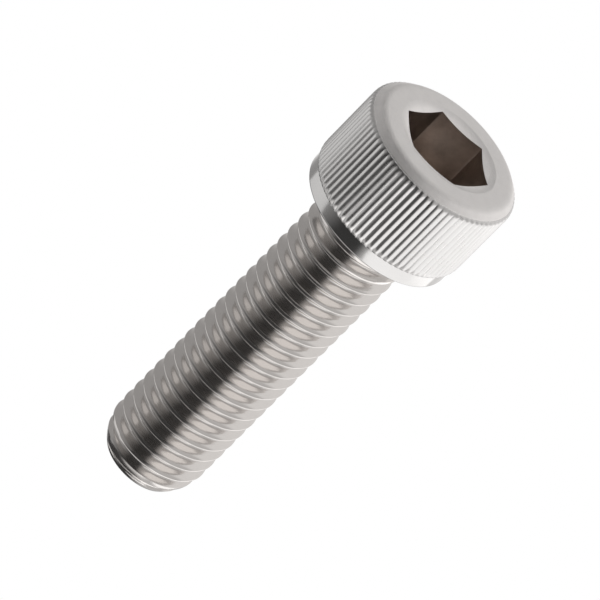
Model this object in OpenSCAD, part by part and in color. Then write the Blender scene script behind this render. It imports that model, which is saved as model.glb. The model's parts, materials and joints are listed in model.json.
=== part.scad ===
// Hexagon socket head cap screw with a straight-knurled head and a fully threaded shank.
// It lies on its side, resting on the knurl and on a thread crest near the point, with
// the head at +X, +Z up and the origin under the middle of its length.

/* [Thread] */
// Diameter over the thread crests
thread_d = 9.85; // [8:0.05:12]
// Axial distance from one crest to the next
pitch = 1.5; // [1:0.05:2]
// Length from the bearing face to the point
shank_l = 34.6; // [20:0.1:80]
// Distance from the point to the first full crest on the screw's underside
first_crest_l = 3.65; // [3.5:0.05:4.5]
// Length of the plain neck between the bearing face and the thread
neck_l = 0.8; // [0.8:0.1:4]
// Radius of the fillet between the neck and the bearing face
neck_fillet_r = 0.6; // [0.5:0.05:0.8]

/* [Point] */
// Diameter of the flat end of the point
point_d = 7.4; // [6:0.1:8]
// Length over which the point rounds down from the full diameter
point_l = 3.4; // [2.5:0.05:3.4]

/* [Head] */
// Height of the head above the bearing face
head_h = 10; // [8:0.05:14]
// Diameter of the turned head between and below the knurl ridges
head_d = 15.25; // [14:0.05:20]
// Width of the chamfered rim round the flat top, measured across the head
rim_w = 0.75; // [0.3:0.05:1.2]
// Height of the chamfered rim
rim_h = 0.65; // [0.2:0.05:1]
// Radius of the edge between the head's side and the bearing face
bearing_edge_r = 0.25; // [0.1:0.05:0.8]

/* [Knurl] */
// Number of straight ridges round the head
knurl_count = 80; // [60:4:100]
// Height of the ridges above the turned head
knurl_h = 0.3; // [0.1:0.01:0.35]
// Distance from the bearing face to the ridges
knurl_from = 1.5; // [1:0.05:2.5]
// Distance from the ridges to the rim
knurl_below_rim = 0.05; // [0.05:0.05:1]

/* [Socket] */
// Width across the flats of the hexagon socket
socket_af = 8.1; // [5:0.05:8.5]
// Depth of the hexagon socket below the flat top
socket_depth = 5; // [3:0.1:6]
// Diameter of the countersink at the flat top
countersink_d = 10.15; // [10:0.05:12]
// Included angle of the countersink
countersink_angle = 140; // [90:5:150]
// Included angle of the drilled bottom of the socket
drill_angle = 120; // [110:5:150]

/* [Hidden] */

steel = "silver";
round_fn = 96;
ridge_fn = 24;
cut_over = 1;

// Radii
thread_r = thread_d / 2;
head_r = head_d / 2;
point_r = point_d / 2;
// A rolled thread starts from a blank of the thread's pitch diameter
neck_r = thread_r - 3 / 8 * pitch * cos(30);
countersink_r = countersink_d / 2;
socket_r = socket_af / 2 / cos(30);
drill_r = socket_af / 2;

// The point is turned to an arc that runs smoothly into the full diameter
point_drop = thread_r - point_r;
point_arc_r = (point_l * point_l + point_drop * point_drop) / (2 * point_drop);
point_from_z = -(shank_l - point_l);

// Thread groove of the 60 degree form, with a crest an eighth of the pitch wide
thread_fn = 24;
crest_w = pitch / 8;
groove_depth = 17 / 24 * pitch * cos(30);
root_w = pitch - crest_w - 2 * groove_depth * tan(30);
root_dip = root_w / 4;
groove_over = pitch / 16;
groove_section = [
    [groove_over, -(pitch - crest_w) / 2 - groove_over * tan(30)],
    [-groove_depth, -root_w / 2],
    [-groove_depth - root_dip, 0],
    [-groove_depth, root_w / 2],
    [groove_over, (pitch - crest_w) / 2 + groove_over * tan(30)]
];
// The groove starts past the point and lifts out of the shank over its last turn
runout_l = thread_r - neck_r;
first_crest_z = -(shank_l - first_crest_l);
groove_from_z = -shank_l - pitch;
groove_turns = (-neck_l - runout_l / 2 - groove_from_z) / pitch;
groove_lift = groove_depth + root_dip + groove_over;

// Ridges are round bars let into the head, two thirds of the knurl's pitch wide
knurl_step = 360 / knurl_count;
knurl_r = head_r + knurl_h;
ridge_half_w = PI * knurl_r / knurl_count * 2 / 3;
ridge_r = (ridge_half_w * ridge_half_w + knurl_h * knurl_h) / (2 * knurl_h);
knurl_to = head_h - rim_h - knurl_below_rim;
// They rise slowly from the bearing side and end short at the rim
ridge_rise_l = 2 * knurl_h;
ridge_end_l = knurl_h;

// Lying on its side, the screw touches at the lower end of the knurl and at the edge of the
// first full crest
head_contact_z = knurl_from + ridge_rise_l;
head_contact_r = knurl_r * cos(knurl_step / 2);
crest_contact_z = first_crest_z - crest_w / 2;
lie_angle = atan2(head_contact_r - thread_r, head_contact_z - crest_contact_z);
lift = head_contact_r * cos(lie_angle) - head_contact_z * sin(lie_angle);
// Its ends, which set where the middle of its length is
head_end_x = head_h * cos(lie_angle) + (head_r - rim_w) * sin(lie_angle);
point_end_x = -shank_l * cos(lie_angle) - point_r * sin(lie_angle);
middle_x = (head_end_x + point_end_x) / 2;

// Turned head, with the chamfered rim at the top and the rounded edge at the bearing face
module head_blank() {
    rotate_extrude($fn = round_fn) {
        square([head_r - bearing_edge_r, head_h - rim_h]);
        polygon([
            [0, bearing_edge_r],
            [head_r, bearing_edge_r],
            [head_r, head_h - rim_h],
            [head_r - rim_w, head_h],
            [0, head_h]
        ]);
        translate([head_r - bearing_edge_r, bearing_edge_r])
            circle(r = bearing_edge_r, $fn = round_fn);
    }
}

// Section across the knurl: the turned head with its ridges
module knurl_section() {
    circle(r = head_r, $fn = round_fn);
    for (i = [0 : knurl_count - 1])
        rotate((i + 0.5) * knurl_step) translate([knurl_r - ridge_r, 0])
            circle(r = ridge_r, $fn = ridge_fn);
}

// Turned envelope that runs the ridges out at both ends
module knurl_envelope() {
    rotate_extrude($fn = round_fn)
        polygon([
            [0, knurl_from],
            [head_r, knurl_from],
            [knurl_r, knurl_from + ridge_rise_l],
            [knurl_r, knurl_to - ridge_end_l],
            [head_r, knurl_to],
            [0, knurl_to]
        ]);
}

module knurl() {
    intersection() {
        translate([0, 0, knurl_from])
            linear_extrude(height = knurl_to - knurl_from) knurl_section();
        knurl_envelope();
    }
}

// Hexagon socket with its countersunk mouth and drilled bottom
module socket() {
    countersink_depth = countersink_r / tan(countersink_angle / 2);
    drill_depth = drill_r / tan(drill_angle / 2);
    translate([0, 0, head_h - socket_depth]) rotate(30)
        cylinder(r = socket_r, h = socket_depth + cut_over, $fn = 6);
    translate([0, 0, head_h - countersink_depth])
        cylinder(r1 = 0, r2 = countersink_r, h = countersink_depth, $fn = round_fn);
    translate([0, 0, head_h - socket_depth - drill_depth])
        cylinder(r1 = 0, r2 = drill_r, h = drill_depth, $fn = round_fn);
}

// Fillet between the neck and the bearing face
module neck_fillet() {
    translate([neck_r, 0]) difference() {
        translate([-cut_over, -neck_fillet_r])
            square([cut_over + neck_fillet_r, neck_fillet_r + cut_over]);
        translate([neck_fillet_r, -neck_fillet_r]) circle(r = neck_fillet_r, $fn = round_fn);
    }
}

// Shank with its neck, its run-out at the head and its rounded point
module shank() {
    rotate_extrude($fn = round_fn) {
        translate([0, -neck_l - cut_over]) square([neck_r, neck_l + 2 * cut_over]);
        neck_fillet();
        polygon([
            [0, point_from_z],
            [thread_r, point_from_z],
            [thread_r, -neck_l - runout_l],
            [neck_r, -neck_l],
            [0, -neck_l]
        ]);
        intersection() {
            translate([0, -shank_l]) square([thread_r, point_l]);
            translate([thread_r - point_arc_r, point_from_z])
                circle(r = point_arc_r, $fn = round_fn);
        }
    }
}

// A corner of the groove's section, i steps along a right-hand helix
function groove_corner(i, corner) =
    let (
        turn = i / thread_fn,
        axial = groove_from_z + turn * pitch,
        angle = 360 * (axial - first_crest_z) / pitch + 180,
        lift = max(0, turn - groove_turns + 1) * groove_lift,
        radius = thread_r + corner[0] + lift
    )
    [radius * cos(angle), radius * sin(angle), axial + corner[1]];

// Helical groove between the crests, swept from its section
module thread_groove() {
    steps = ceil(groove_turns * thread_fn);
    corners = len(groove_section);
    points = [for (i = [0 : steps]) for (corner = groove_section) groove_corner(i, corner)];
    walls = [
        for (i = [0 : steps - 1]) for (j = [0 : corners - 1])
            let (a = i * corners + j, b = i * corners + (j + 1) % corners)
            each [[a, a + corners, b], [b, a + corners, b + corners]]
    ];
    first_end = [for (j = [0 : corners - 1]) j];
    last_end = [for (j = [corners - 1 : -1 : 0]) steps * corners + j];
    polyhedron(points, concat([first_end], walls, [last_end]));
}

// Head with its knurl and socket
module head() {
    difference() {
        union() {
            head_blank();
            knurl();
        }
        socket();
    }
}

// Shank with its thread
module threaded_shank() {
    difference() {
        shank();
        thread_groove();
    }
}

// The screw along its own axis, with its bearing face at z = 0 and the head above
module upright_screw() {
    head();
    threaded_shank();
}

module cap_screw() {
    color(steel)
        translate([-middle_x, 0, lift])
            rotate([0, 90 - lie_angle, 0])
                upright_screw();
}

cap_screw();
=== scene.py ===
"""Finish of a hexagon socket head cap screw: knurled head, countersunk socket and rolled thread.

The screw is built along its own axis in millimetres, with the bearing face at height 0, the
head above it and the shank below. Angle 0 is the side that it lies on. It is then laid in
the frame by the record's mounts.
"""

import json
import math

import bmesh
import bpy
from mathutils import Matrix, Vector


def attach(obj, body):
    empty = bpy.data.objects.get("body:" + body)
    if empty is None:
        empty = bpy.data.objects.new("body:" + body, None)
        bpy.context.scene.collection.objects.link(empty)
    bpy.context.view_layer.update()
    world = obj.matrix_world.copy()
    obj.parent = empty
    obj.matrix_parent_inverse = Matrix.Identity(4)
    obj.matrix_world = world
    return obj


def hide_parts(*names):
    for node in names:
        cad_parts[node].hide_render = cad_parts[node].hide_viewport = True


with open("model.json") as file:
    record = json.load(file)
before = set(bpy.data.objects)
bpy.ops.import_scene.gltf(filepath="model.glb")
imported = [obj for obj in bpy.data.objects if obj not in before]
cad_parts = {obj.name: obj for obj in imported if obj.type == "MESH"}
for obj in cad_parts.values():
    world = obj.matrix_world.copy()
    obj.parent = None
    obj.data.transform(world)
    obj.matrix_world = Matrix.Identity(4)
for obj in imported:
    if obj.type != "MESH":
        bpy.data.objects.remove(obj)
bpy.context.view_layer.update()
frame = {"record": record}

MM = 0.001
TURN = 2 * math.pi
MOUNTS = {mount["name"]: mount for mount in frame["record"]["mounts"]}

# Head, in millimetres, with a chamfered rim round its flat top
HEAD_H = 10.0
HEAD_R = 15.25 / 2
RIM_W = 0.75
RIM_H = 0.65
RIM_EDGE_R = 0.1
TOP_EDGE_R = 1.0
BEARING_EDGE_R = 0.25
# Height below the flat top over which the matte face's colour is painted lighter, painted light against
# the shade on the rim's and countersink's slopes
RIM_PAINTED_LIGHT_H = 0.35

# Straight knurl of crowned ridges with rounded ends, and the height of the grooves between them
RIDGES = 80
RIDGE_H = 0.3
GROOVE_H = 0.21
KNURL_FROM = 1.5
KNURL_BELOW_RIM = 0.05
KNURL_TO = HEAD_H - RIM_H - KNURL_BELOW_RIM
RIDGE_RISE_L = 2.4 * RIDGE_H
RIDGE_END_L = 2 * RIDGE_H

# Hexagon socket with its countersunk mouth and drilled bottom
SOCKET_FLAT_R = 8.1 / 2
SOCKET_DEPTH = 5.0
SOCKET_CORNER = math.radians(30)
COUNTERSINK_R = 10.15 / 2
COUNTERSINK_SLOPE = 1 / math.tan(math.radians(140) / 2)
COUNTERSINK_EASE_W = 0.05
COUNTERSINK_EASE_H = 0.015
DRILL_SLOPE = 1 / math.tan(math.radians(120) / 2)

# Thread and shank
THREAD_R = MOUNTS["thread"]["dims"]["r_mm"]
PITCH = 1.5
SHANK_L = 34.6
POINT_R = 7.4 / 2
POINT_L = 3.4
FIRST_CREST_L = 3.65
FIRST_CREST = -(SHANK_L - FIRST_CREST_L)
NECK_L = 0.8
NECK_R = THREAD_R - 3 / 8 * PITCH * math.cos(math.radians(30))
NECK_FILLET_R = 0.6
CREST_W = PITCH / 8
CREST_BLEND = 0.22
ROOT_BLEND = 0.3
GROOVE_DEPTH = 17 / 24 * PITCH * math.cos(math.radians(30))
RUNOUT_RISE = 1.2 * GROOVE_DEPTH

# Columns of faces round the axis; each count is a multiple of the one inside it
SHANK_COLUMNS = 112
SOCKET_COLUMNS = 224
RIDGE_COLUMNS = 14

# Rows of faces along the thread, closer at the crest and at the root than on the flanks, and
# over the rounded end of a ridge, in degrees
PITCH_ROWS = 16
ROW_BUNCHING = 0.6
RIDGE_END_ROWS = range(10, 91, 16)

# Narrow rings keep the flat faces flat up to their edges
TOP_RING_W = 0.15
BAND_RING_W = 0.1
END_RING_W = 0.06

# Points closer than this are one point, and edges sharper than this stay sharp
WELD = 2e-3
SHARP = math.radians(32)

# The camera looks down on the screw from beyond its head, with the axis on the diagonal
CAMERA_AZIMUTH = 95.65
CAMERA_ELEVATION = 64.5
CAMERA_ROLL = -141.79
CAMERA_DISTANCE = 0.5853
CAMERA_LENS = 401.8
CAMERA_AIM = Vector((0, -0.16, -11.33))


# ---------------------------------------------------------------- node trees


class Field:
    """A value on its way through a node tree, so that a sum in the tree reads as a sum."""

    def __init__(self, tree, socket):
        self.tree = tree
        self.socket = socket

    def math(self, operation, *others):
        made = self.tree.nodes.new("ShaderNodeMath")
        made.operation = operation
        for slot, value in zip(made.inputs, (self, *others)):
            feed(slot, value)
        return Field(self.tree, made.outputs[0])

    def __add__(self, other):
        return self.math("ADD", other)

    def __sub__(self, other):
        return self.math("SUBTRACT", other)

    def __mul__(self, other):
        return self.math("MULTIPLY", other)

    def __truediv__(self, other):
        return self.math("DIVIDE", other)


def feed(slot, value):
    """Links a field or a socket to a node's slot, or sets the slot to a plain value."""
    socket = getattr(value, "socket", value)
    if isinstance(socket, bpy.types.NodeSocket):
        slot.id_data.links.new(socket, slot)
    else:
        slot.default_value = value


def node(tree, kind, inputs=None, **settings):
    """A new node with its settings and its inputs, by name or by number."""
    made = tree.nodes.new(kind)
    for name, value in settings.items():
        setattr(made, name, value)
    for name, value in (inputs or {}).items():
        feed(made.inputs[name], value)
    return made


def geometry_tree(name, sizes):
    """A Geometry Nodes tree with an input for each named size.

    Returns the tree, its sizes and the mesh that it is given.
    """
    tree = bpy.data.node_groups.new(name, "GeometryNodeTree")
    tree.interface.new_socket("Mesh", in_out="INPUT", socket_type="NodeSocketGeometry")
    for size, value in sizes.items():
        kind = "NodeSocketInt" if isinstance(value, int) else "NodeSocketFloat"
        tree.interface.new_socket(size, in_out="INPUT", socket_type=kind)
    tree.interface.new_socket("Mesh", in_out="OUTPUT", socket_type="NodeSocketGeometry")
    given = tree.nodes.new("NodeGroupInput")
    fields = {size: Field(tree, given.outputs[size]) for size in sizes}
    return tree, fields, given.outputs["Mesh"]


def finish_tree(tree, mesh, materials):
    """Ends a tree: real faces, welded, each zone with its material."""
    mesh = node(tree, "GeometryNodeRealizeInstances", {"Geometry": mesh}).outputs[0]
    mesh = node(tree, "GeometryNodeMergeByDistance", {"Geometry": mesh, "Distance": WELD}).outputs[0]
    for material, zone in materials:
        paint = node(tree, "GeometryNodeSetMaterial", {"Geometry": mesh, "Material": material})
        if zone is not None:
            feed(paint.inputs["Selection"], zone)
        mesh = paint.outputs[0]
    out = tree.nodes.new("NodeGroupOutput")
    feed(out.inputs[0], mesh)


def grow(tree, sizes, mesh):
    """The plain mesh that a tree makes with its inputs set to these sizes."""
    holder = bpy.data.objects.new(tree.name, mesh)
    bpy.context.scene.collection.objects.link(holder)
    modifier = holder.modifiers.new(tree.name, "NODES")
    modifier.node_group = tree
    for item in tree.interface.items_tree:
        if item.in_out == "INPUT" and item.name in sizes:
            modifier[item.identifier] = sizes[item.name]
    depsgraph = bpy.context.evaluated_depsgraph_get()
    grown = bpy.data.meshes.new_from_object(holder.evaluated_get(depsgraph), depsgraph=depsgraph)
    holder.modifiers.remove(modifier)
    bpy.data.objects.remove(holder)
    return grown


# ---------------------------------------------------------------- steel finishes


def own_coordinates(tree):
    """Millimetres along the screw's own axes, for patterns that follow how it was made."""
    place = laid_down()
    where = node(tree, "ShaderNodeTexCoord").outputs["Object"]
    turned = node(tree, "ShaderNodeMapping", {"Vector": where}, vector_type="TEXTURE")
    turned.inputs["Location"].default_value = place.to_translation()
    turned.inputs["Rotation"].default_value = place.to_euler()
    turned.inputs["Scale"].default_value = (MM, MM, MM)
    return turned.outputs[0]


def grain(tree, vector, scale, detail=3.0, roughness=0.5):
    """Noise over a vector in millimetres."""
    made = node(
        tree,
        "ShaderNodeTexNoise",
        {"Vector": vector, "Scale": scale, "Detail": detail, "Roughness": roughness},
    )
    return Field(tree, made.outputs["Fac"])


def stretched(tree, vector, along_x, along_y, along_z):
    """The vector with each direction scaled, which draws a pattern out where it is small."""
    made = node(
        tree,
        "ShaderNodeVectorMath",
        {0: vector, 1: (along_x, along_y, along_z)},
        operation="MULTIPLY",
    )
    return made.outputs[0]


def ramp(tree, value, start, end, low=0.0, high=1.0):
    """The value's way from start to end, eased, as a brightness from low to high."""
    made = node(
        tree,
        "ShaderNodeMapRange",
        {"Value": value, "From Min": start, "From Max": end, "To Min": low, "To Max": high},
        interpolation_type="SMOOTHSTEP",
    )
    return Field(tree, made.outputs[0])


def turning_lines(tree, vector):
    """Fine lines round the axis, as a lathe tool leaves them on a cylinder or a face."""
    parts = node(tree, "ShaderNodeSeparateXYZ", {0: vector})
    flat = node(tree, "ShaderNodeCombineXYZ", {0: parts.outputs[0], 1: parts.outputs[1]})
    across = node(tree, "ShaderNodeVectorMath", {0: flat.outputs[0]}, operation="LENGTH")
    section = node(
        tree, "ShaderNodeCombineXYZ", {0: across.outputs["Value"], 1: parts.outputs[2]}
    )
    return grain(tree, section.outputs[0], 14.0, detail=4.0, roughness=0.65)


def steel(name, colour, roughness, tint=0.04, gloss=0.06, clouds=0.9):
    """A stainless material with cloudy colour and gloss. Returns it and what the finishes add to."""
    material = bpy.data.materials.new(name)
    material.use_nodes = True
    tree = material.node_tree
    tree.nodes.clear()
    shader = node(tree, "ShaderNodeBsdfPrincipled", {"Metallic": 1.0})
    out = tree.nodes.new("ShaderNodeOutputMaterial")
    feed(out.inputs["Surface"], shader.outputs[0])
    vector = own_coordinates(tree)
    cloud = grain(tree, vector, clouds, detail=5.0, roughness=0.6)
    shade = node(tree, "ShaderNodeMix", {"Factor": cloud}, data_type="RGBA")
    shade.inputs["A"].default_value = (*[c * (1 - tint) for c in colour], 1)
    shade.inputs["B"].default_value = (*[c * (1 + tint) for c in colour], 1)
    feed(shader.inputs["Base Color"], shade.outputs["Result"])
    feed(shader.inputs["Roughness"], (cloud - 0.5) * 2 * gloss + roughness)
    return material, tree, shader, vector


def bump(tree, shader, height, depth):
    """Gives the shader the relief of a height field from 0 to 1, so many millimetres deep."""
    made = node(
        tree,
        "ShaderNodeBump",
        {"Height": height, "Distance": depth * MM, "Strength": 1.0},
    )
    feed(shader.inputs["Normal"], made.outputs[0])


def matte_face():
    """The flat top, blasted dull, with painted light: its colour lighter down the rim and the
    countersink, against the shade on their slopes.
    """
    colour = (0.71, 0.695, 0.685)
    material, tree, shader, vector = steel("matte_face", colour, roughness=0.48, tint=0.1)
    height = node(tree, "ShaderNodeSeparateXYZ", {0: vector}).outputs[2]
    # Painted light: the colour grows up to a quarter lighter below the flat top, over the rim and the
    # countersink, to offset the shade on their slopes
    painted_light = ramp(tree, height, HEAD_H, HEAD_H - RIM_PAINTED_LIGHT_H, low=1.0, high=1.25)
    shade = shader.inputs["Base Color"].links[0].from_socket
    bright = node(tree, "ShaderNodeVectorMath", {0: shade, "Scale": painted_light}, operation="SCALE")
    feed(shader.inputs["Base Color"], bright.outputs[0])
    bump(tree, shader, grain(tree, vector, 4.5, detail=6.0, roughness=0.75), depth=0.05)
    return material


def turned_steel():
    """The band under the knurl, turned bright."""
    colour = (0.61, 0.602, 0.595)
    material, tree, shader, vector = steel("turned_steel", colour, roughness=0.14, gloss=0.03)
    bump(tree, shader, turning_lines(tree, vector), depth=0.0015)
    return material


def faced_steel():
    """The bearing face and the end of the point, faced dull."""
    colour = (0.56, 0.55, 0.542)
    material, tree, shader, vector = steel("faced_steel", colour, roughness=0.4)
    bump(tree, shader, turning_lines(tree, vector), depth=0.006)
    return material


def knurled_steel():
    """The ridges, pressed along the axis."""
    colour = (0.63, 0.622, 0.615)
    material, tree, shader, vector = steel("knurled_steel", colour, roughness=0.28, gloss=0.04)
    drawn = stretched(tree, vector, 3.0, 3.0, 0.5)
    bump(tree, shader, grain(tree, drawn, 3.0, detail=4.0), depth=0.003)
    return material


def rolled_steel():
    """The thread, rolled between dies."""
    colour = (0.68, 0.655, 0.635)
    material, tree, shader, vector = steel("rolled_steel", colour, roughness=0.15, gloss=0.04)
    drawn = stretched(tree, vector, 0.35, 0.35, 5.0)
    bump(tree, shader, grain(tree, drawn, 2.0, detail=4.0, roughness=0.6), depth=0.004)
    return material


def socket_steel():
    """Inside the hexagon socket, still dark from forging."""
    colour = (0.56, 0.50, 0.46)
    material, tree, shader, vector = steel(
        "socket_steel", colour, roughness=0.3, tint=0.5, clouds=0.5
    )
    drawn = stretched(tree, vector, 2.0, 2.0, 0.4)
    bump(tree, shader, grain(tree, drawn, 4.0, detail=4.0), depth=0.012)
    return material


# ---------------------------------------------------------------- rings and skins


def polar(radius, angle, height):
    return Vector((radius * math.cos(angle), radius * math.sin(angle), height))


def circle(radius, height, columns):
    return [polar(radius, TURN * i / columns, height) for i in range(columns)]


def hexagon_radius(angle):
    """Distance from the axis to the socket's wall."""
    from_flat = (angle - SOCKET_CORNER) % (TURN / 6) - TURN / 12
    return SOCKET_FLAT_R / math.cos(from_flat)


def hexagon(height_at):
    """A ring on the socket's wall, with its height given by its distance from the axis."""
    points = []
    for i in range(SOCKET_COLUMNS):
        angle = TURN * i / SOCKET_COLUMNS
        radius = hexagon_radius(angle)
        points.append(polar(radius, angle, height_at(radius)))
    return points


def rounded(corners, steps=6):
    """(radius, height) points of an outline whose inner corners, (radius, height, fillet), are round."""
    points = [Vector(corners[0][:2])]
    for before, corner, after in zip(corners, corners[1:], corners[2:]):
        here = Vector(corner[:2])
        back = (Vector(before[:2]) - here).normalized()
        ahead = (Vector(after[:2]) - here).normalized()
        fillet = corner[2]
        half = back.angle(ahead) / 2
        centre = here + (back + ahead).normalized() * (fillet / math.sin(half))
        first = here + back * (fillet / math.tan(half)) - centre
        last = here + ahead * (fillet / math.tan(half)) - centre
        for i in range(steps + 1):
            points.append(centre + first.lerp(last, i / steps).normalized() * fillet)
    points.append(Vector(corners[-1][:2]))
    return points


def bridge(mesh, one, other):
    """Faces between two rings of vertices, one of which may have several times as many."""
    coarse, fine = sorted((one, other), key=len)
    share = len(fine) // len(coarse)
    for i in range(len(coarse)):
        run = [fine[(i * share + k) % len(fine)] for k in range(share + 1)]
        mesh.faces.new([coarse[(i + 1) % len(coarse)], coarse[i], *run])


def skin(name, rings, material, closed_end=False):
    """A surface through rings of points, with a face over the last ring if it is closed."""
    mesh = bmesh.new()
    rows = [[mesh.verts.new(point) for point in points] for points in rings]
    for one, other in zip(rows, rows[1:]):
        bridge(mesh, one, other)
    if closed_end:
        mesh.faces.new(rows[-1])
    made = bpy.data.meshes.new(name)
    made.materials.append(material)
    mesh.to_mesh(made)
    mesh.free()
    return made


# ---------------------------------------------------------------- head


def head_profile():
    """The turned side of the head, from the bearing face over the chamfered rim to the flat top."""
    low = rounded([
        (HEAD_R - 2 * BEARING_EDGE_R, 0),
        (HEAD_R, 0, BEARING_EDGE_R),
        (HEAD_R, KNURL_FROM - BAND_RING_W),
    ])
    high = rounded([
        (HEAD_R, KNURL_TO),
        (HEAD_R, HEAD_H - RIM_H, RIM_EDGE_R),
        (HEAD_R - RIM_W, HEAD_H, TOP_EDGE_R),
        (HEAD_R - RIM_W - TOP_EDGE_R, HEAD_H),
    ])
    steps = [1 - math.cos(math.radians(degrees)) for degrees in RIDGE_END_ROWS]
    rise = [KNURL_FROM + RIDGE_RISE_L * step for step in steps]
    end = [KNURL_TO - RIDGE_END_L * step for step in reversed(steps)]
    side = [Vector((HEAD_R, height)) for height in (KNURL_FROM, *rise, *end)]
    return low + side + high


def ridge_shares():
    """Columns over one ridge, as shares of the knurl's pitch from the ridge's middle."""
    return [column / RIDGE_COLUMNS - 0.5 for column in range(RIDGE_COLUMNS + 1)]


def ridge_height(share, height):
    """How far the knurl stands above the turned head, at a share of its pitch from a ridge's middle."""
    below = min(1, max(0, 1 - (height - KNURL_FROM) / RIDGE_RISE_L))
    above = min(1, max(0, 1 - (KNURL_TO - height) / RIDGE_END_L))
    rounded_end = math.sqrt(1 - max(below, above) ** 2)
    groove = GROOVE_H * rounded_end * (1 - below)
    return groove + (RIDGE_H * rounded_end - groove) * math.cos(math.pi * share)


def ridge_sector():
    """The side of the head over one ridge's share of the turn, from the bearing face to the top."""
    mesh = bmesh.new()
    rows = []
    for radius, height in head_profile():
        row = []
        for share in ridge_shares():
            angle = TURN / RIDGES * (share + 0.5)
            row.append(mesh.verts.new(polar(radius + ridge_height(share, height), angle, height)))
        rows.append(row)
    for low, high in zip(rows, rows[1:]):
        for i in range(len(low) - 1):
            mesh.faces.new([low[i], low[i + 1], high[i + 1], high[i]])
    made = bpy.data.meshes.new("ridge_sector")
    mesh.to_mesh(made)
    mesh.free()
    return made


def head_side(turned, knurled, matte):
    """The sector repeated round the axis by Geometry Nodes."""
    sizes = {"Ridges": RIDGES, "Knurl from": KNURL_FROM, "Knurl to": KNURL_TO}
    tree, size, sector = geometry_tree("head_side", sizes)
    places = node(tree, "GeometryNodeMeshLine", {"Count": size["Ridges"]})
    places.inputs["Offset"].default_value = (0, 0, 0)
    index = Field(tree, node(tree, "GeometryNodeInputIndex").outputs[0])
    step = node(tree, "ShaderNodeCombineXYZ", {"Z": index * TURN / size["Ridges"]})
    spin = node(tree, "FunctionNodeEulerToRotation", {0: step.outputs[0]})
    repeated = node(
        tree,
        "GeometryNodeInstanceOnPoints",
        {"Points": places.outputs[0], "Instance": sector, "Rotation": spin.outputs[0]},
    )
    where = node(tree, "GeometryNodeInputPosition")
    height = Field(tree, node(tree, "ShaderNodeSeparateXYZ", {0: where.outputs[0]}).outputs[2])
    above_band = height.math("GREATER_THAN", size["Knurl from"])
    on_rim = height.math("GREATER_THAN", size["Knurl to"])
    zones = [(turned, None), (knurled, above_band), (matte, on_rim)]
    finish_tree(tree, repeated.outputs[0], zones)
    return grow(tree, sizes, ridge_sector())


def head_columns():
    """Angles of the columns round the head's side."""
    return [
        TURN / RIDGES * (ridge + share + 0.5)
        for ridge in range(RIDGES)
        for share in ridge_shares()[:-1]
    ]


def head_ring(radius, height):
    return [polar(radius, angle, height) for angle in head_columns()]


def top_face(material):
    """The flat top between the rim and the countersink."""
    rings = [
        head_ring(head_profile()[-1].x, HEAD_H),
        circle(COUNTERSINK_R + TOP_RING_W, HEAD_H, SOCKET_COLUMNS),
        circle(COUNTERSINK_R + COUNTERSINK_EASE_W, HEAD_H, SOCKET_COLUMNS),
        circle(COUNTERSINK_R, cone_height(COUNTERSINK_R), SOCKET_COLUMNS),
    ]
    return skin("top_face", rings, material)


def cone_height(radius):
    """Height of the countersink, whose edge is eased a little below the flat top."""
    return HEAD_H - COUNTERSINK_EASE_H - (COUNTERSINK_R - radius) * COUNTERSINK_SLOPE


def countersink(material):
    rings = [
        circle(COUNTERSINK_R, cone_height(COUNTERSINK_R), SOCKET_COLUMNS),
        hexagon(cone_height),
    ]
    return skin("countersink", rings, material)


def socket_wall(material):
    """The hexagon's sides, its flat corners at the bottom and the drilled cone."""
    floor = HEAD_H - SOCKET_DEPTH
    rings = [hexagon(cone_height), hexagon(lambda radius: floor)]
    for share in (1, 0.6, 0.2):
        radius = SOCKET_FLAT_R * share
        rings.append(circle(radius, floor - (SOCKET_FLAT_R - radius) * DRILL_SLOPE, SOCKET_COLUMNS))
    return skin("socket_wall", rings, material, closed_end=True)


# ---------------------------------------------------------------- shank


def neck(material):
    """Plain neck, its fillet and the bearing face out to the head's edge."""
    outer = head_profile()[0].x
    profile = rounded([
        (NECK_R, -NECK_L),
        (NECK_R, 0, NECK_FILLET_R),
        (NECK_R + 2 * NECK_FILLET_R, 0),
    ])
    rings = [circle(radius, height, SHANK_COLUMNS) for radius, height in profile]
    rings += [head_ring(outer - END_RING_W, 0), head_ring(outer, 0)]
    return skin("neck", rings, material)


def point_end(material):
    """The flat end of the point."""
    rings = [circle(radius, -SHANK_L, SHANK_COLUMNS) for radius in (POINT_R, POINT_R - END_RING_W)]
    return skin("point_end", rings, material, closed_end=True)


def thread_sizes():
    """The thread's named sizes. Its grid starts past the point, whole pitches from the first crest."""
    start = FIRST_CREST - 4 * PITCH
    pitches = math.ceil((-NECK_L - start) / PITCH)
    point_drop = THREAD_R - POINT_R
    runout = THREAD_R - NECK_R
    return {
        "Columns": SHANK_COLUMNS + 1,
        "Rows": pitches * PITCH_ROWS + 1,
        "Rows in a pitch": PITCH_ROWS,
        "Crest radius": THREAD_R,
        "Pitch": PITCH,
        "Crest width": CREST_W,
        "Crest blend": CREST_BLEND,
        "Groove depth": GROOVE_DEPTH,
        "Root blend": ROOT_BLEND,
        "Start": start,
        "Point end": -SHANK_L,
        "Point from": -(SHANK_L - POINT_L),
        "Point arc": (POINT_L**2 + point_drop**2) / (2 * point_drop),
        "Neck": -NECK_L,
        "Neck radius": NECK_R,
        "Run-out from": -NECK_L - runout / 2 - PITCH,
        "Run-out rise": RUNOUT_RISE,
    }


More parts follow.
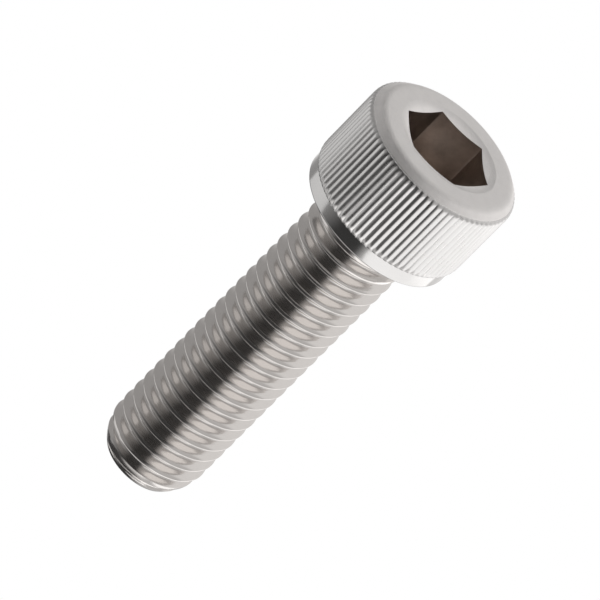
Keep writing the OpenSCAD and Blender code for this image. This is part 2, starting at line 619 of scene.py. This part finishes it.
def along_helix(index, size):
    """A grid point's share of the turn, its height, its groove's height and its way from the crest."""
    turn = (index / size["Rows"]).math("FLOOR") / (size["Columns"] - 1)
    row = index.math("MODULO", size["Rows"]) / size["Rows in a pitch"]
    phase = row - (row * 2 * TURN).math("SINE") * (ROW_BUNCHING / (2 * TURN))
    groove = phase.math("FLOOR")
    across = ((phase - groove - 0.5).math("ABSOLUTE") * -1 + 0.5) * size["Pitch"]
    height = size["Start"] + (phase + turn) * size["Pitch"]
    height = height.math("MAXIMUM", size["Point end"]).math("MINIMUM", size["Neck"])
    groove_height = size["Start"] + (groove + turn + 0.5) * size["Pitch"]
    return turn, height, groove_height, across


def groove_depth(groove_height, across, size):
    """Depth of a 60 degree groove that lifts out of the shank over its last turn."""
    flank = (across - size["Crest width"] / 2) * math.sqrt(3)
    bottom = flank.math("SMOOTH_MIN", size["Groove depth"], size["Root blend"])
    risen = ((groove_height - size["Run-out from"]) / size["Pitch"]).math("MAXIMUM", 0)
    return (bottom - risen * size["Run-out rise"]).math("SMOOTH_MAX", 0, size["Crest blend"])


def cut_off(radius, height, size):
    """The radius, where the point's arc or the slope down to the neck doesn't cut it off."""
    into_point = (size["Point from"] - height).math("MAXIMUM", 0)
    fall = (size["Point arc"] * size["Point arc"] - into_point * into_point).math("SQRT")
    radius = radius.math("MINIMUM", size["Crest radius"] - size["Point arc"] + fall)
    return radius.math("MINIMUM", size["Neck radius"] + size["Neck"] - height)


def thread_wall(material):
    """The threaded side of the shank: a grid along the helix, let in to the depth of the groove."""
    sizes = thread_sizes()
    tree, size, _ = geometry_tree("thread_wall", sizes)
    grid = node(
        tree,
        "GeometryNodeMeshGrid",
        {"Vertices X": size["Columns"], "Vertices Y": size["Rows"]},
    )
    index = Field(tree, node(tree, "GeometryNodeInputIndex").outputs[0])
    turn, height, groove_height, across = along_helix(index, size)
    radius = size["Crest radius"] - groove_depth(groove_height, across, size)
    radius = cut_off(radius, height, size)
    angle = turn * TURN
    place = node(
        tree,
        "ShaderNodeCombineXYZ",
        {"X": radius * angle.math("COSINE"), "Y": radius * angle.math("SINE"), "Z": height},
    )
    shaped = node(
        tree,
        "GeometryNodeSetPosition",
        {"Geometry": grid.outputs[0], "Position": place.outputs[0]},
    )
    finish_tree(tree, shaped.outputs[0], [(material, None)])
    return grow(tree, sizes, bpy.data.meshes.new("thread_grid"))


# ---------------------------------------------------------------- the screw


def laid_down():
    """From the screw's own axes, in millimetres, to where the record's mounts say it lies."""
    up = -Vector(MOUNTS["thread"]["axis"]).normalized()
    side = Vector((0, 1, 0))
    down = side.cross(up)
    x, _, z = MOUNTS["bearing_face"]["pos_m"]
    turned = Matrix((down, side, up)).transposed().to_4x4()
    return Matrix.Translation((x, 0, z)) @ turned


def welded(name, meshes, materials):
    """One closed mesh from its parts, laid down in the frame."""
    whole = bmesh.new()
    for mesh in meshes:
        first = len(whole.faces)
        whole.from_mesh(mesh)
        whole.faces.ensure_lookup_table()
        for face in whole.faces[first:]:
            face.material_index = materials.index(mesh.materials[face.material_index])
    bmesh.ops.remove_doubles(whole, verts=whole.verts, dist=WELD)
    bmesh.ops.dissolve_degenerate(whole, edges=whole.edges, dist=WELD / 10)
    bmesh.ops.recalc_face_normals(whole, faces=whole.faces)
    loose = [edge for edge in whole.edges if len(edge.link_faces) != 2]
    if loose:
        raise RuntimeError(f"the screw is open at {len(loose)} edges, such as {loose[0].verts[0].co}")
    whole.transform(laid_down() @ Matrix.Scale(MM, 4))
    made = bpy.data.meshes.new(name)
    for material in materials:
        made.materials.append(material)
    whole.to_mesh(made)
    whole.free()
    made.shade_smooth()
    made.set_sharp_from_angle(angle=SHARP)
    return made


def cap_screw():
    """The whole screw, one piece of steel."""
    face, turned, faced, knurled, rolled, inside = materials = [
        matte_face(),
        turned_steel(),
        faced_steel(),
        knurled_steel(),
        rolled_steel(),
        socket_steel(),
    ]
    meshes = [
        head_side(turned, knurled, face),
        top_face(face),
        countersink(face),
        socket_wall(inside),
        neck(faced),
        thread_wall(rolled),
        point_end(faced),
    ]
    screw = bpy.data.objects.new("screw", welded("screw", meshes, materials))
    bpy.context.scene.collection.objects.link(screw)
    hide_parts("cap_screw")
    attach(screw, "root")
    return screw


# ---------------------------------------------------------------- floor, light and camera


def floor():
    """A plain white floor. It glows for the camera alone, so it throws no light on the screw."""
    mesh = bpy.data.meshes.new("floor")
    half = 3.0
    corners = [(-half, -half, 0), (half, -half, 0), (half, half, 0), (-half, half, 0)]
    mesh.from_pydata(corners, [], [(0, 1, 2, 3)])
    material = bpy.data.materials.new("floor")
    material.use_nodes = True
    shader = material.node_tree.nodes["Principled BSDF"]
    shader.inputs["Base Color"].default_value = (0, 0, 0, 1)
    shader.inputs["Specular IOR Level"].default_value = 0.0
    shader.inputs["Emission Color"].default_value = (1, 1, 1, 1)
    shader.inputs["Emission Strength"].default_value = 1.0
    mesh.materials.append(material)
    made = bpy.data.objects.new("floor", mesh)
    bpy.context.scene.collection.objects.link(made)
    made.visible_glossy = False
    made.visible_diffuse = False
    made.visible_shadow = False


def direction(azimuth, elevation):
    """From the object to a place at this azimuth (0 is along -Y, 90 along +X) and elevation."""
    a, e = math.radians(azimuth), math.radians(elevation)
    return Vector((math.sin(a) * math.cos(e), -math.cos(a) * math.cos(e), math.sin(e)))


def softbox(name, azimuth, elevation, width, height, radiance):
    """A rectangular light, a metre away and so many degrees wide and high, on top of the tent's own."""
    light = bpy.data.lights.new(name, "AREA")
    light.shape = "RECTANGLE"
    light.size = 2 * math.tan(math.radians(width / 2))
    light.size_y = 2 * math.tan(math.radians(height / 2))
    light.energy = radiance * math.pi * light.size * light.size_y
    back = direction(azimuth, elevation)
    made = bpy.data.objects.new(name, light)
    made.location = back
    made.rotation_euler = back.to_track_quat("Z", "Y").to_euler()
    made.visible_camera = False
    bpy.context.scene.collection.objects.link(made)


def surroundings():
    """White to the camera. To the screw, a light tent's walls and ground, with a dark strip overhead."""
    world = bpy.data.worlds.new("studio")
    world.use_nodes = True
    tree = world.node_tree
    tree.nodes.clear()
    ray = node(tree, "ShaderNodeTexCoord").outputs["Generated"]
    parts = node(tree, "ShaderNodeSeparateXYZ", {0: ray})
    ahead, aside, up = (Field(tree, part) for part in parts.outputs)
    near_wall = ramp(tree, aside, -0.05, -0.3, high=0.56)
    far_wall = ramp(tree, aside, 0.4, 0.95, high=0.34)
    ground = ramp(tree, up, 0.3, -0.2) * ramp(tree, ahead, -0.75, -0.4)
    ground = ground * ramp(tree, aside, 0.5, 0.0, low=0.34, high=0.84)
    end_wall = ramp(tree, up, 0.05, 0.2) * ramp(tree, ahead, -0.7, -0.9, high=0.75)
    glow = near_wall.math("MAXIMUM", far_wall).math("MAXIMUM", ground) + end_wall + 0.05
    room = node(tree, "ShaderNodeBackground", {"Strength": glow})
    white = node(tree, "ShaderNodeBackground", {"Strength": 1.0})
    room.inputs["Color"].default_value = (1.0, 0.985, 0.975, 1)
    white.inputs["Color"].default_value = (1, 1, 1, 1)
    seen = node(tree, "ShaderNodeLightPath").outputs["Is Camera Ray"]
    mixed = node(tree, "ShaderNodeMixShader", {0: seen, 1: room.outputs[0], 2: white.outputs[0]})
    out = tree.nodes.new("ShaderNodeOutputWorld")
    feed(out.inputs["Surface"], mixed.outputs[0])
    bpy.context.scene.world = world


def studio():
    surroundings()
    bpy.context.scene.view_settings.view_transform = "Standard"
    softbox("key", azimuth=326, elevation=8, width=56, height=96, radiance=0.76)
    softbox("back", azimuth=212, elevation=-6, width=56, height=48, radiance=0.5)


def camera():
    data = bpy.data.cameras.new("camera")
    data.sensor_width = 36
    data.lens = CAMERA_LENS
    data.clip_start = 0.01
    made = bpy.data.objects.new("camera", data)
    back = direction(CAMERA_AZIMUTH, CAMERA_ELEVATION)
    place = laid_down() @ (CAMERA_AIM * MM) + back * CAMERA_DISTANCE
    level = back.to_track_quat("Z", "Y").to_matrix().to_4x4()
    roll = Matrix.Rotation(math.radians(CAMERA_ROLL), 4, "Z")
    made.matrix_world = Matrix.Translation(place) @ level @ roll
    bpy.context.scene.collection.objects.link(made)
    bpy.context.scene.camera = made


cap_screw()
floor()
studio()
camera()
